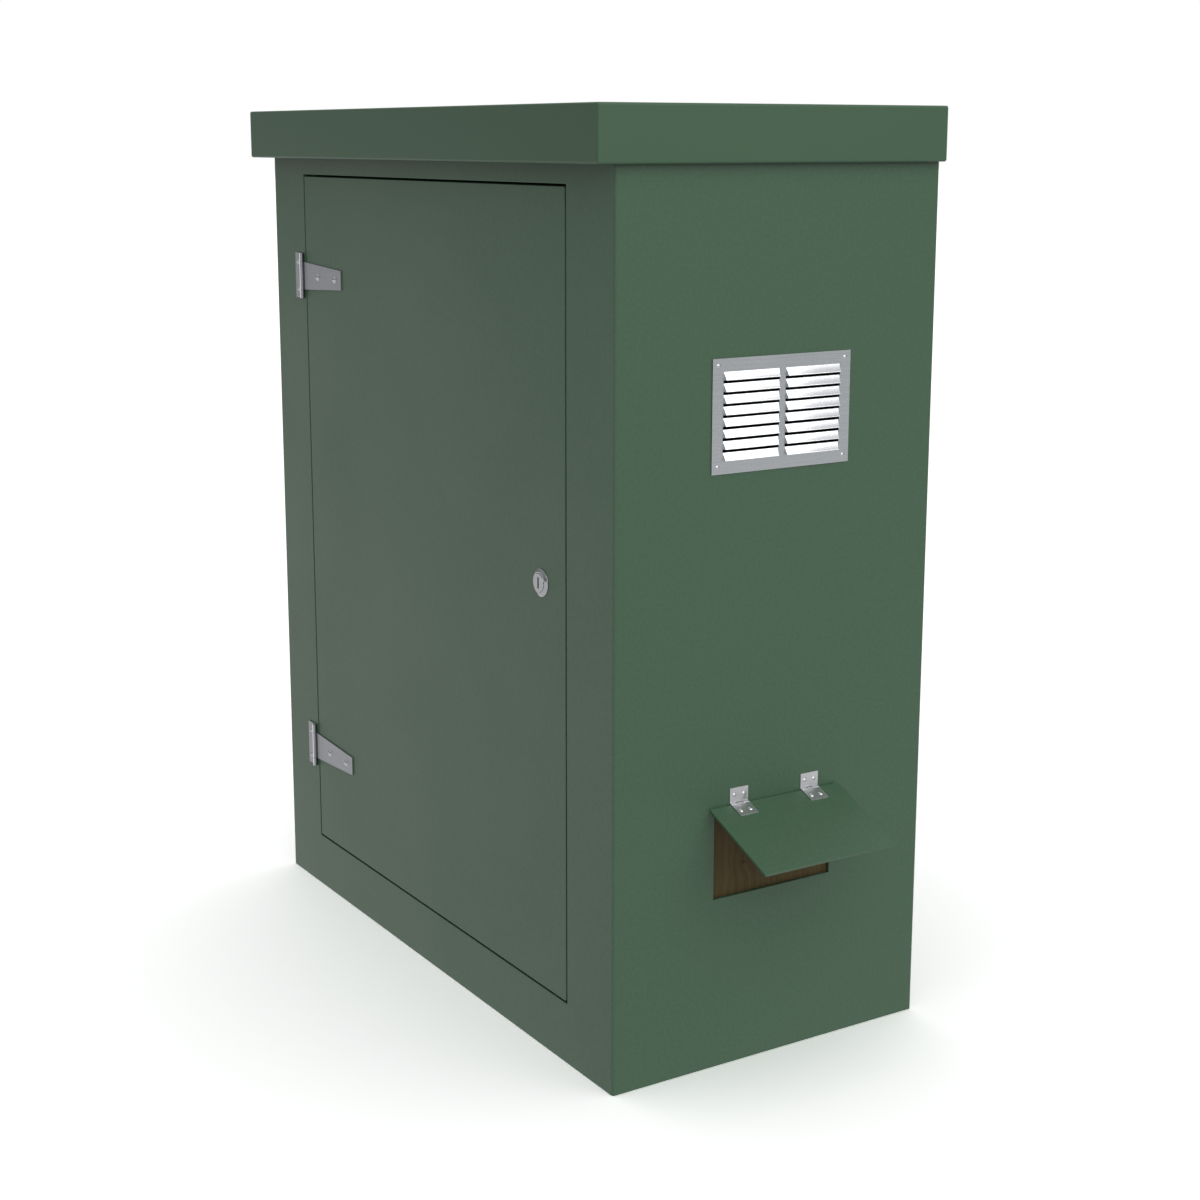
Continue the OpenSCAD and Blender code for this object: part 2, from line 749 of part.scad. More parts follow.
module lock_plug() color(chrome) {
  shoulder = front_y - cam_front;
  at_lock() difference() {
    union() {
      translate([0, 0, bezel_rim + run]) cylinder(r = plug_r, h = plug_out - bezel_rim - run - 0.4);
      translate([0, 0, plug_out - 0.4]) cylinder(r1 = plug_r, r2 = plug_r - 0.4, h = 0.4);
      translate([0, 0, shoulder]) cylinder(r = lock_shaft_r, h = bezel_rim + run + 0.5 - shoulder);
      translate([0, 0, shoulder - cam_t / 2 + 0.1])
        cube([lock_square, lock_square, cam_t - 0.2], center = true);
    }
    translate([0, 0, plug_out]) cube([2.8, 14.6, 6], center = true);
    translate([0, 0, shoulder - cam_t - 1]) cylinder(r = cam_screw_r + fit, h = 12);
  }
}

// Flat cam on the plug's square, hanging straight down while the lock is open.
module lock_cam() color(zinc) {
  at_lock() translate([0, 0, front_y - cam_front - cam_t]) linear_extrude(cam_t) difference() {
    union() {
      circle(d = cam_w);
      translate([-cam_w / 2, -cam_l + 3]) square([cam_w, cam_l - 3]);
      translate([-cam_w / 2 + 3, -cam_l]) square([cam_w - 6, 4]);
    }
    square(lock_square, center = true);
  }
}

module cam_screw() color(zinc) {
  at_lock() translate([0, 0, front_y - cam_front - cam_t]) mirror([0, 0, 1]) {
    cylinder(r = 7, h = 1);
    translate([0, 0, 1]) dome(4.5, 2.4);
    translate([0, 0, -9]) cylinder(r = cam_screw_r, h = 10.5);
  }
}

// ---- flap ----

// Turns a child drawn with the flap closed to where the flap stands.
module flap_turned() {
  translate([flap_axis_x, 0, flap_axis_z]) rotate([0, -flap_open, 0]) children();
}

// The flap's upper edge is level with its pins, so it is cut away round the two barrels.
module flap() color(grp) {
  flap_turned() difference() {
    translate([flap_outer - flap_t, 0, -flap_tip / 2]) rotate([0, 90, 0]) linear_extrude(flap_t)
      round_rect(flap_tip, flap_w, 2);
    for (s = [-1, 1]) translate([0, s * flap_hinge_y, 0])
      flap_knuckle(-flap_leaf_w / 2 - run, flap_leaf_w / 2 + run, flap_barrel_r + run);
    at_flap_rivets() translate([0, 0, -flap_leaf_t - flap_t - 1])
      cylinder(r = rivet_r + hole_clear, h = flap_t + flap_leaf_t + 2);
  }
}

// Places its children at the flap's rivets, facing out of the leaves, in the closed flap's frame.
module at_flap_rivets() {
  for (s = [-1, 1], k = [-1, 1])
    translate([flap_outer + flap_leaf_t, s * flap_hinge_y + k * flap_screw_gap / 2, -flap_screw_out])
      rotate([0, 90, 0]) children();
}

// Barrel of one flap hinge along Y: the wall leaf has the outer thirds, the flap leaf the middle.
module flap_knuckle(y0, y1, r) {
  translate([0, y1, 0]) rotate([90, 0, 0]) cylinder(r = r, h = y1 - y0);
}

module flap_wall_leaves() color(zinc) {
  third = flap_leaf_w / 6;
  difference() {
    for (s = [-1, 1]) translate([flap_axis_x, s * flap_hinge_y, flap_axis_z]) union() {
      flap_knuckle(-flap_leaf_w / 2, -third - run / 2, flap_barrel_r);
      flap_knuckle(third + run / 2, flap_leaf_w / 2, flap_barrel_r);
      difference() {
        translate([side_x - flap_axis_x, -flap_leaf_w / 2, 0]) cube([flap_leaf_t, flap_leaf_w, flap_leaf_h]);
        translate([side_x - flap_axis_x - 1, -third - run / 2, -1])
          cube([4, 2 * third + run, 1 + flap_barrel_r + run]);
      }
    }
    translate([flap_axis_x, 0, flap_axis_z]) flap_knuckle(-flap_w, flap_w, flap_pin_r + fit);
    at_wall_screws() translate([0, 0, -flap_leaf_t - 1])
      cylinder(r = flap_screw_r + hole_clear, h = flap_leaf_t + 2);
  }
}

module flap_leaves() color(zinc) {
  third = flap_leaf_w / 6;
  flap_turned() difference() {
    for (s = [-1, 1]) translate([0, s * flap_hinge_y, 0]) union() {
      flap_knuckle(-third + run / 2, third - run / 2, flap_barrel_r);
      difference() {
        translate([flap_outer, -flap_leaf_w / 2, -flap_leaf_l]) cube([flap_leaf_t, flap_leaf_w, flap_leaf_l]);
        for (k = [-1, 1]) translate([0, k * flap_leaf_w / 3, 0])
          flap_knuckle(-flap_leaf_w / 6 - run / 2, flap_leaf_w / 6 + run / 2, flap_barrel_r + run);
      }
    }
    flap_knuckle(-flap_w, flap_w, flap_pin_r + fit);
    at_flap_rivets() translate([0, 0, -flap_leaf_t - 1])
      cylinder(r = rivet_r + hole_clear, h = flap_leaf_t + 2);
  }
}

module flap_hinge_pins() color(zinc) {
  for (s = [-1, 1]) translate([flap_axis_x, s * flap_hinge_y, flap_axis_z])
    flap_knuckle(-flap_leaf_w / 2 + 0.5, flap_leaf_w / 2 - 0.5, flap_pin_r);
}

module flap_wall_screws() color(zinc) {
  at_wall_screws() {
    dome(flap_head_r, flap_head_h);
    translate([0, 0, -flap_leaf_t - wall_t - 8]) cylinder(r = flap_screw_r, h = flap_leaf_t + wall_t + 8.5);
  }
}

module flap_rivets() color(alu) {
  flap_turned() at_flap_rivets() rivet(flap_leaf_t + flap_t);
}

// ---- every sub-part ----

body_shell();
base_ring();
door_frame();
roof_cap();
roof_seal();
roof_bolts();
backboard();
battens();
backboard_screws();
side_lining();
vent_grille();
insect_mesh();
vent_rivets();
door_seal();
strike_plate();
strike_rivets();
upper_hinge_leaf();
lower_hinge_leaf();
upper_hinge_pin();
lower_hinge_pin();
hinge_leaf_bolts();
hinge_leaf_nuts();
door_skin();
door_board();
upper_hinge_strap();
lower_hinge_strap();
hinge_strap_bolts();
hinge_strap_nuts();
lock_body();
lock_nut();
lock_plug();
lock_cam();
cam_screw();
flap();
flap_wall_leaves();
flap_hinge_pins();
flap_wall_screws();
flap_leaves();
flap_rivets();
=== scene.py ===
# %% [markdown]
# # A roadside utility cabinet
# A green glass-fibre kiosk with a side-hung door, a louvred aluminium vent and a small flap over a
# cable hatch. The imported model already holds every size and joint, so this lesson is about looks:
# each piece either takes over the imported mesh, cleaned and given soft edges, or is modelled again in
# finer detail in the same place. Everything is in metres, with the door facing -Y and the vent +X.

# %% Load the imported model
import math

import bmesh
import bpy
from mathutils import Matrix, Vector
from mathutils.bvhtree import BVHTree


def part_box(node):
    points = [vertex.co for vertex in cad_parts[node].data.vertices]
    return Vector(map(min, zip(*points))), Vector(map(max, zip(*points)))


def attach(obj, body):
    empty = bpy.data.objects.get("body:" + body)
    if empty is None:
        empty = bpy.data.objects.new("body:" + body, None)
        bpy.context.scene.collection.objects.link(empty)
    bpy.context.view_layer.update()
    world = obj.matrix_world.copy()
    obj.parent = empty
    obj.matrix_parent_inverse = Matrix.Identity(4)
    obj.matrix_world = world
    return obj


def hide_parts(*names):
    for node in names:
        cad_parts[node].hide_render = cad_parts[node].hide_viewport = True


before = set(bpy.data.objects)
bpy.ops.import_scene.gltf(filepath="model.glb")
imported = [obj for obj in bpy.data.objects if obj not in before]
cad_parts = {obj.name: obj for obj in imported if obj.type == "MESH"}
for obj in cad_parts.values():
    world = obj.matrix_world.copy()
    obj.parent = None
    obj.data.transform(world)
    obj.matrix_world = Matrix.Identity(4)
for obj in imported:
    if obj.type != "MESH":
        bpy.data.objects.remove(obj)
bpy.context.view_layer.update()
MM = 0.001

# %% [markdown]
# ## Camera
# The view is a three-quarter one from the vent side, a little above the middle of the cabinet and
# looking slightly down, through a short telephoto lens so that the uprights stay nearly parallel.

# %% Camera
camera_data = bpy.data.cameras.new("camera")
camera_data.sensor_width = 36
camera_data.lens = 59.89
camera_data.shift_x = 0.0143
camera_data.shift_y = -0.0470
camera_data.clip_start = 0.05
camera_data.clip_end = 200
camera = bpy.data.objects.new("camera", camera_data)
camera.location = (2.5006, -1.5447, 1.2119)
camera.rotation_euler = (math.radians(78.519), 0, math.radians(58.050))
bpy.context.scene.collection.objects.link(camera)
bpy.context.scene.camera = camera
print("camera stands at", tuple(round(x, 3) for x in camera.location))

# %% [markdown]
# ## Helpers for node trees
# A material or a node group is a list of small steps. One helper makes a node, sets its options and
# either types a value into each socket or links another node's output to it. Another makes an empty
# group with named sockets, and the rest are short names for the nodes that are used most.

# %% Node helpers
def node(tree, kind, options=None, sockets=None):
    made = tree.nodes.new("ShaderNode" + kind)
    for name, value in (options or {}).items():
        setattr(made, name, value)
    for name, value in (sockets or {}).items():
        if isinstance(value, bpy.types.NodeSocket):
            tree.links.new(value, made.inputs[name])
        else:
            made.inputs[name].default_value = value
    return made


def math_node(tree, operation, *values):
    made = node(tree, "Math", {"operation": operation}, dict(enumerate(values)))
    return made.outputs[0]


def new_group(name, inputs, outputs):
    tree = bpy.data.node_groups.new(name, "ShaderNodeTree")
    for label, (kind, value) in inputs.items():
        socket = tree.interface.new_socket(name=label, in_out="INPUT", socket_type="NodeSocket" + kind)
        if value is not None:
            socket.default_value = value
    for label, kind in outputs.items():
        tree.interface.new_socket(name=label, in_out="OUTPUT", socket_type="NodeSocket" + kind)
    start = tree.nodes.new("NodeGroupInput")
    end = tree.nodes.new("NodeGroupOutput")
    return tree, start.outputs, end.inputs


def noise(tree, place, scale, detail=2.0, roughness=0.5):
    made = node(tree, "TexNoise", None,
                {"Vector": place, "Scale": scale, "Detail": detail, "Roughness": roughness})
    return made.outputs["Fac"]


def spread(tree, value, low, high, to_low=0.0, to_high=1.0):
    made = node(tree, "MapRange", {"clamp": True}, {
        "Value": value, "From Min": low, "From Max": high, "To Min": to_low, "To Max": to_high})
    return made.outputs["Result"]


def mix_colour(tree, factor, first, second, blend="MIX"):
    made = node(tree, "Mix", {"data_type": "RGBA", "blend_type": blend}, {0: factor, 6: first, 7: second})
    return made.outputs[2]


def stretched(tree, place, scale):
    made = node(tree, "Mapping", None, {"Vector": place, "Scale": scale})
    return made.outputs["Vector"]


# %% [markdown]
# ## Shared effects
# Three effects turn up on more than one finish, so each is a node group. Moulded resin is never quite
# flat: it shows long soft ripples from the mould and a finer orange peel. Rolled and brushed metal
# has streaks along one direction, and its plating has small cloudy patches. Plywood has a growth
# grain that runs up the board and bends round a knot.

# %% Moulded resin group
tree, given, out = new_group("moulded_resin", {
    "Place": ("Vector", None),
    "Colour": ("Color", (0.05, 0.1, 0.06, 1)),
    "Chalked": ("Color", (0.08, 0.12, 0.09, 1)),
    "Edge": ("Float", 0.0),
    "Peel Scale": ("Float", 220.0),
    "Gloss": ("Float", 0.4),
}, {"Colour": "Color", "Roughness": "Float", "Height": "Float"})
ripple = noise(tree, given["Place"], 7.0, 1.0)
peel = noise(tree, given["Place"], given["Peel Scale"], 2.0)
clouds = noise(tree, given["Place"], 2.6, 5.0, 0.6)
fine = noise(tree, given["Place"], 900.0, 3.0, 0.7)
patchy = spread(tree, clouds, 0.35, 0.75, 0.0, 0.10)
worn = math_node(tree, "MULTIPLY", given["Edge"], spread(tree, peel, 0.35, 0.7, 0.1, 0.45))
pale = math_node(tree, "MAXIMUM", patchy, worn)
tint = mix_colour(tree, pale, given["Colour"], given["Chalked"])
shade = spread(tree, fine, 0.3, 0.7, 0.985, 1.015)
grey = node(tree, "CombineColor", None, {0: shade, 1: shade, 2: shade}).outputs[0]
tree.links.new(mix_colour(tree, 1.0, tint, grey, "MULTIPLY"), out["Colour"])
dull = math_node(tree, "ADD", given["Gloss"], spread(tree, clouds, 0.3, 0.7, -0.03, 0.05))
tree.links.new(dull, out["Roughness"])
waves = math_node(tree, "MULTIPLY", ripple, 0.8)
height = math_node(tree, "ADD", waves, math_node(tree, "MULTIPLY", peel, 0.2))
tree.links.new(height, out["Height"])
moulded_resin = tree
print("group", tree.name, "has", len(tree.nodes), "nodes")

# %% Drawn metal group
tree, given, out = new_group("drawn_metal", {
    "Place": ("Vector", None),
    "Colour": ("Color", (0.5, 0.5, 0.52, 1)),
    "Stretch": ("Vector", (20.0, 20.0, 900.0)),
    "Streak": ("Float", 0.25),
    "Gloss": ("Float", 0.3),
    "Cloud Scale": ("Float", 60.0),
    "Cloud": ("Float", 0.1),
}, {"Colour": "Color", "Roughness": "Float", "Height": "Float"})
streaks = noise(tree, stretched(tree, given["Place"], given["Stretch"]), 1.0, 4.0, 0.65)
patches = noise(tree, given["Place"], given["Cloud Scale"], 3.0, 0.6)
level = math_node(tree, "MULTIPLY", math_node(tree, "SUBTRACT", streaks, 0.5), given["Streak"])
cloud = math_node(tree, "MULTIPLY", math_node(tree, "SUBTRACT", patches, 0.5), given["Cloud"])
value = math_node(tree, "ADD", math_node(tree, "ADD", 1.0, level), cloud)
grey = node(tree, "CombineColor", None, {0: value, 1: value, 2: value}).outputs[0]
tree.links.new(mix_colour(tree, 1.0, given["Colour"], grey, "MULTIPLY"), out["Colour"])
dull = math_node(tree, "SUBTRACT", given["Gloss"], math_node(tree, "MULTIPLY", level, 0.4))
tree.links.new(math_node(tree, "SUBTRACT", dull, cloud), out["Roughness"])
tree.links.new(math_node(tree, "ADD", streaks, math_node(tree, "MULTIPLY", patches, 0.3)), out["Height"])
drawn_metal = tree
print("group", tree.name, "has", len(tree.nodes), "nodes")

# %% Plywood grain group
tree, given, out = new_group("ply_grain", {
    "Place": ("Vector", None),
    "Pale Wood": ("Color", (0.3, 0.2, 0.1, 1)),
    "Dark Wood": ("Color", (0.12, 0.07, 0.03, 1)),
    "Knot Place": ("Vector", (0.0, 0.0, 0.0)),
    "Knot Size": ("Float", 0.006),
}, {"Colour": "Color", "Roughness": "Float", "Height": "Float"})
away = node(tree, "VectorMath", {"operation": "DISTANCE"}, {0: given["Place"], 1: given["Knot Place"]})
knot_far = math_node(tree, "DIVIDE", away.outputs["Value"], given["Knot Size"])
knot = spread(tree, knot_far, 0.5, 1.3, 1.0, 0.0)
halo = spread(tree, knot_far, 1.0, 7.0, 1.0, 0.0)
sway = noise(tree, stretched(tree, given["Place"], (9.0, 9.0, 2.2)), 1.0, 3.0)
across = node(tree, "SeparateXYZ", None, {0: given["Place"]})
side = math_node(tree, "ADD", across.outputs[0], across.outputs[1])
bent = math_node(tree, "ADD", side, math_node(tree, "MULTIPLY", sway, 0.06))
bent = math_node(tree, "ADD", bent, math_node(tree, "MULTIPLY", halo, 0.008))
rings = node(tree, "CombineXYZ", None, {0: bent, 1: 0.0, 2: 0.0}).outputs[0]
year = noise(tree, rings, 150.0, 2.0, 0.6)
pores = noise(tree, stretched(tree, given["Place"], (1400.0, 1400.0, 40.0)), 1.0, 3.0, 0.6)
broad = noise(tree, stretched(tree, given["Place"], (6.0, 6.0, 1.5)), 1.0, 2.0)
dark = math_node(tree, "ADD", spread(tree, year, 0.35, 0.68, 0.0, 0.6),
                 spread(tree, pores, 0.4, 0.7, 0.0, 0.35))
dark = math_node(tree, "ADD", dark, spread(tree, broad, 0.3, 0.7, -0.15, 0.2))
dark = math_node(tree, "MAXIMUM", dark, math_node(tree, "MULTIPLY", knot, 1.25))
tree.links.new(mix_colour(tree, spread(tree, dark, 0.0, 1.25), given["Pale Wood"], given["Dark Wood"]),
               out["Colour"])
tree.links.new(spread(tree, dark, 0.0, 1.0, 0.62, 0.8), out["Roughness"])
tree.links.new(math_node(tree, "SUBTRACT", 1.0, dark), out["Height"])
ply_grain = tree
print("group", tree.name, "has", len(tree.nodes), "nodes")


# %% [markdown]
# ## Materials
# Each material is one Principled shader fed by a shared group: the group gives the colour, roughness
# and height that change over the surface, and a Bump node turns the height into a normal. What is the
# same all over, such as metal or not, is typed on the shader itself.

# %% Material helper
def material(name, group, settings, relief, depth, **shader):
    made = bpy.data.materials.new(name)
    made.use_nodes = True
    tree = made.node_tree
    tree.nodes.clear()
    finish = node(tree, "OutputMaterial")
    surface = node(tree, "BsdfPrincipled", None, {k.replace("_", " "): v for k, v in shader.items()})
    place = node(tree, "TexCoord").outputs["Object"]
    effect = tree.nodes.new("ShaderNodeGroup")
    effect.node_tree = group
    tree.links.new(place, effect.inputs["Place"])
    for label, value in settings.items():
        effect.inputs[label].default_value = value
    if "Edge" in effect.inputs:
        tree.links.new(node(tree, "Attribute", {"attribute_name": "soft_edge"}).outputs["Fac"],
                       effect.inputs["Edge"])
    bump = node(tree, "Bump", None, {
        "Strength": relief, "Distance": depth, "Height": effect.outputs["Height"]})
    tree.links.new(effect.outputs["Colour"], surface.inputs["Base Color"])
    tree.links.new(effect.outputs["Roughness"], surface.inputs["Roughness"])
    tree.links.new(bump.outputs["Normal"], surface.inputs["Normal"])
    tree.links.new(surface.outputs["BSDF"], finish.inputs["Surface"])
    return made


# %% The cabinet's finishes
green_gelcoat = material("green_gelcoat", moulded_resin, {
    "Colour": (0.043, 0.103, 0.053, 1), "Chalked": (0.075, 0.135, 0.085, 1), "Gloss": 0.40,
}, 0.25, 0.0006, IOR=1.5)
strand_flowcoat = material("strand_flowcoat", moulded_resin, {
    "Colour": (0.060, 0.098, 0.066, 1), "Chalked": (0.13, 0.16, 0.12, 1), "Peel Scale": 90.0, "Gloss": 0.58,
}, 0.9, 0.0016, IOR=1.5)
dull_zinc = material("dull_zinc", drawn_metal, {
    "Colour": (0.35, 0.355, 0.38, 1), "Stretch": (500.0, 500.0, 60.0), "Streak": 0.10, "Gloss": 0.40,
    "Cloud Scale": 90.0, "Cloud": 0.10}, 0.2, 0.0001, Metallic=1.0)
# pale glossy steel, a painted highlight along the hinge barrels
painted_highlight_steel = material("painted_highlight_steel", drawn_metal, {
    "Colour": (0.96, 0.96, 0.98, 1), "Stretch": (300.0, 300.0, 300.0), "Streak": 0.06, "Gloss": 0.25,
    "Cloud Scale": 160.0, "Cloud": 0.05}, 0.1, 0.0001, Metallic=1.0)
plated_bolt = material("plated_bolt", drawn_metal, {
    "Colour": (0.52, 0.52, 0.54, 1), "Stretch": (300.0, 300.0, 300.0), "Streak": 0.05, "Gloss": 0.17,
    "Cloud Scale": 160.0, "Cloud": 0.05}, 0.1, 0.0001, Metallic=1.0)
bright_zinc = material("bright_zinc", drawn_metal, {
    "Colour": (0.62, 0.62, 0.64, 1), "Stretch": (300.0, 300.0, 300.0), "Streak": 0.06, "Gloss": 0.30,
    "Cloud Scale": 160.0, "Cloud": 0.12}, 0.15, 0.0001, Metallic=1.0)
brushed_aluminium = material("brushed_aluminium", drawn_metal, {
    "Colour": (0.46, 0.48, 0.50, 1), "Stretch": (30.0, 12.0, 620.0), "Streak": 0.34, "Gloss": 0.27,
    "Cloud Scale": 20.0, "Cloud": 0.03}, 0.25, 0.0001, Metallic=1.0)
# a paler, glossier copy of the brushed aluminium, a painted highlight on the blades
louvre_highlight_aluminium = material("louvre_highlight_aluminium", drawn_metal, {
    "Colour": (0.90, 0.91, 0.94, 1), "Stretch": (40.0, 10.0, 900.0), "Streak": 0.04, "Gloss": 0.13,
    "Cloud Scale": 20.0, "Cloud": 0.02}, 0.0, 0.00005, Metallic=1.0)
# dark steel for the insect mesh wires, also used as painted shade on the hinge straps
wire_steel_and_painted_shade = material("wire_steel_and_painted_shade", drawn_metal, {
    "Colour": (0.10, 0.10, 0.11, 1), "Streak": 0.1, "Gloss": 0.5}, 0.1, 0.0001, Metallic=1.0)
lock_chrome = material("lock_chrome", drawn_metal, {
    "Colour": (0.42, 0.425, 0.44, 1), "Stretch": (200.0, 200.0, 200.0), "Streak": 0.05, "Gloss": 0.14,
    "Cloud Scale": 30.0, "Cloud": 0.04}, 0.05, 0.0001, Metallic=1.0)
# black rubber for the seals, also used as painted shade inside the lock's key slot
black_rubber = material("black_rubber", moulded_resin, {
    "Colour": (0.012, 0.012, 0.012, 1), "Chalked": (0.03, 0.03, 0.03, 1), "Peel Scale": 700.0, "Gloss": 0.7,
}, 0.3, 0.0003)
plywood = material("plywood", ply_grain, {
    "Pale Wood": (0.24, 0.17, 0.085, 1), "Dark Wood": (0.10, 0.066, 0.028, 1),
    "Knot Place": (0.12, 0.209, 0.78), "Knot Size": 0.006,
}, 0.35, 0.0004)
# a much darker copy of the plywood, painted shade for the lining seen through the hatch
painted_shade_ply = material("painted_shade_ply", ply_grain, {
    "Pale Wood": (0.094, 0.062, 0.011, 1), "Dark Wood": (0.032, 0.019, 0.003, 1),
    "Knot Place": (0.495, -0.0447, 0.277), "Knot Size": 0.0032,
}, 0.35, 0.0004)
print("materials:", [m.name for m in bpy.data.materials])


# %% [markdown]
# ## Helpers for pieces
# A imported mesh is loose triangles. To soften its edges it is copied, its doubles are merged and its
# flat regions are dissolved to single faces, and only then are the crisp outer edges bevelled: a bevel
# on raw triangles would cut across them, and one in an inside corner would narrow a running gap. Where
# several edges meet at a shallow angle a bevel can throw a corner out, so each corner that strays
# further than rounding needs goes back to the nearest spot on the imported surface. The bevelled corners
# are marked in an attribute that the resin finish reads, so that wear shows on the edges alone.

# %% Piece helpers
SAME_SPOT = 0.002 * MM
FLAT = math.radians(0.4)
CRISP = math.radians(35)
STRAY_LIMIT = 0.45  # a true three-way rounded corner lies 0.42 of its width below the surface


def finish_piece(name, bm, body, finishes, stands_for, smooth=40):
    mesh = bpy.data.meshes.new(name)
    bm.to_mesh(mesh)
    bm.free()
    mesh.shade_smooth()
    mesh.set_sharp_from_angle(angle=math.radians(smooth))
    for finish in finishes:
        mesh.materials.append(finish)
    piece = bpy.data.objects.new(name, mesh)
    bpy.context.scene.collection.objects.link(piece)
    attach(piece, body)
    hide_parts(*stands_for)
    evened = piece.modifiers.new("even_normals", "WEIGHTED_NORMAL")
    evened.keep_sharp = True
    triangles = sum(len(face.vertices) - 2 for face in mesh.polygons)
    print(f"{name}: {triangles} triangles")


def clean_copy(node_name):
    bm = bmesh.new()
    bm.from_mesh(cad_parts[node_name].data)
    bmesh.ops.remove_doubles(bm, verts=bm.verts, dist=SAME_SPOT)
    bmesh.ops.dissolve_limit(bm, angle_limit=FLAT, verts=bm.verts, edges=bm.edges)
    for face in bm.faces:
        face.material_index = 0
    return bm


def soften(bm, width, segments):
    mark = bm.verts.layers.float.new("soft_edge")
    packed_surface = BVHTree.FromBMesh(bm)
    crisp = [e for e in bm.edges if e.is_manifold and e.is_convex and e.calc_face_angle(0) > CRISP]
    made = bmesh.ops.bevel(bm, geom=crisp, offset=width, offset_type="OFFSET", affect="EDGES",
                           segments=segments, profile=0.5, material=-1, clamp_overlap=False)
    for vert in made["verts"]:
        vert[mark] = 1.0
    for vert in bm.verts:
        nearest, _, _, strayed = packed_surface.find_nearest(vert.co)
        if strayed > STRAY_LIMIT * width:
            vert.co = nearest
    return bm


def solids_of(node_name):
    """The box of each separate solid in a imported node."""
    bm = bmesh.new()
    bm.from_mesh(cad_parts[node_name].data)
    bmesh.ops.remove_doubles(bm, verts=bm.verts, dist=SAME_SPOT)
    waiting = set(bm.verts)
    boxes = []
    while waiting:
        reached = [waiting.pop()]
        for vert in reached:
            for edge in vert.link_edges:
                other = edge.other_vert(vert)
                if other in waiting:
                    waiting.remove(other)
                    reached.append(other)
        corners = [[f(v.co[i] for v in reached) for i in range(3)] for f in (min, max)]
        boxes.append((Vector(corners[0]), Vector(corners[1])))
    bm.free()
    return sorted(boxes, key=lambda box: tuple(box[0]))


# %% [markdown]
# ## Glass-fibre mouldings
# The shell, cap, door skin, flap and frames are laid up in moulds, so every outside edge has a small
# radius and the hidden side shows the glass strands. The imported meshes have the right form: they are
# cleaned, given the mould's edge radius, and the faces on the hidden side take the strand finish. The
# base ring is hidden as a whole, and the flap is smooth all round.

# %% Mouldings
def moulding(node_name, body, radius, is_hidden):
    bm = soften(clean_copy(node_name), radius, 3)
    for face in bm.faces:
        if is_hidden(face.calc_center_median()):
            face.material_index = 1
    finish_piece(node_name + "_moulding", bm, body,
                 [green_gelcoat, strand_flowcoat], [node_name])


shell_lo, shell_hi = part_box("body_shell")
skin_lo, skin_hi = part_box("door_skin")
cap_lo, cap_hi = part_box("roof_cap")
WALL = 5 * MM
SKIN = 3 * MM
FRAME_BACK_Y = -0.2215  # behind this plane the frame's faces are inside the cabinet


def inside_shell(spot):
    return (abs(spot.x) < shell_hi.x - 0.6 * WALL and abs(spot.y) < shell_hi.y - 0.6 * WALL
            and spot.z < shell_hi.z - 0.4 * WALL)


def inside_cap(spot):
    return (cap_lo.x + 0.6 * WALL < spot.x < cap_hi.x - 0.6 * WALL
            and cap_lo.y + 0.6 * WALL < spot.y < cap_hi.y - 0.6 * WALL
            and spot.z < cap_hi.z - 0.4 * WALL)


def behind_skin(spot):
    return spot.y > skin_lo.y + SKIN and abs(spot.x) < skin_hi.x - SKIN


moulding("body_shell", "cabinet", 0.7 * MM, inside_shell)
moulding("base_ring", "cabinet", 0.8 * MM, lambda spot: True)
moulding("door_frame", "cabinet", 0.8 * MM, lambda spot: spot.y > FRAME_BACK_Y)
moulding("roof_cap", "cabinet", 0.6 * MM, inside_cap)
moulding("door_skin", "door", 0.9 * MM, behind_skin)
moulding("flap", "flap", 0.7 * MM, lambda spot: False)

# %% [markdown]
# ## Boards
# Plywood is bought in sheets and sawn, so its edges are crisp and barely eased. The grain finish runs
# upright through every board, and one small knot sits behind the hatch opening. The side lining takes
# a much darker copy of the plywood, painted shade for the dim inside seen through the hatch.

# %% Boards
for board, body in (("backboard", "cabinet"), ("battens", "cabinet"), ("side_lining", "cabinet"),
                    ("door_board", "door")):
    # the side lining takes the darker copy, painted shade
    finish = painted_shade_ply if board == "side_lining" else plywood
    finish_piece(board + "_ply", soften(clean_copy(board), 0.4 * MM, 1), body, [finish], [board])

# %% [markdown]
# ## Rubber seals
# Both seals are soft strips pressed between parts. Their edges are rounded much more than a
# moulding's, so the bevel is wide and has several segments.

# %% Seals
finish_piece("door_seal_strip", soften(clean_copy("door_seal"), 1.6 * MM, 4), "cabinet",
             [black_rubber], ["door_seal"])
finish_piece("roof_seal_strip", soften(clean_copy("roof_seal"), 0.8 * MM, 3), "cabinet",
             [black_rubber], ["roof_seal"])

# %% [markdown]
# ## Pressed steel
# The strike plate, the lock's cam and the flap's small hinge leaves are cut from sheet and plated. The
# cutter leaves edges with a fraction of a millimetre of rounding, which is what catches the light along
# them.

# %% Sheet-metal parts
SHEARED_EDGE = 0.2 * MM
SHEET_PARTS = {
    "strike_plate": "cabinet", "lock_cam": "lock", "flap_wall_leaves": "cabinet", "flap_leaves": "flap",
}
for part, body in SHEET_PARTS.items():
    sheet = soften(clean_copy(part), SHEARED_EDGE, 2)
    finish_piece(part + "_metal", sheet, body, [bright_zinc], [part])

# %% [markdown]
# ## Door hinges
# Each hinge is one leaf on the frame and one strap on the door, rolled round a common pin. A band
# along each rolled barrel takes a pale glossy steel, a painted highlight, and the strap has a flat
# dark band where its plate leaves the roll, painted shade. Both are bands of faces: the shade band is
# cut into the mesh with two planes, and the highlight band is picked by the direction in which the
# barrel's faces look. The two bounds of the shade band are distances from the pin, and those of the
# highlight band are angles round it.

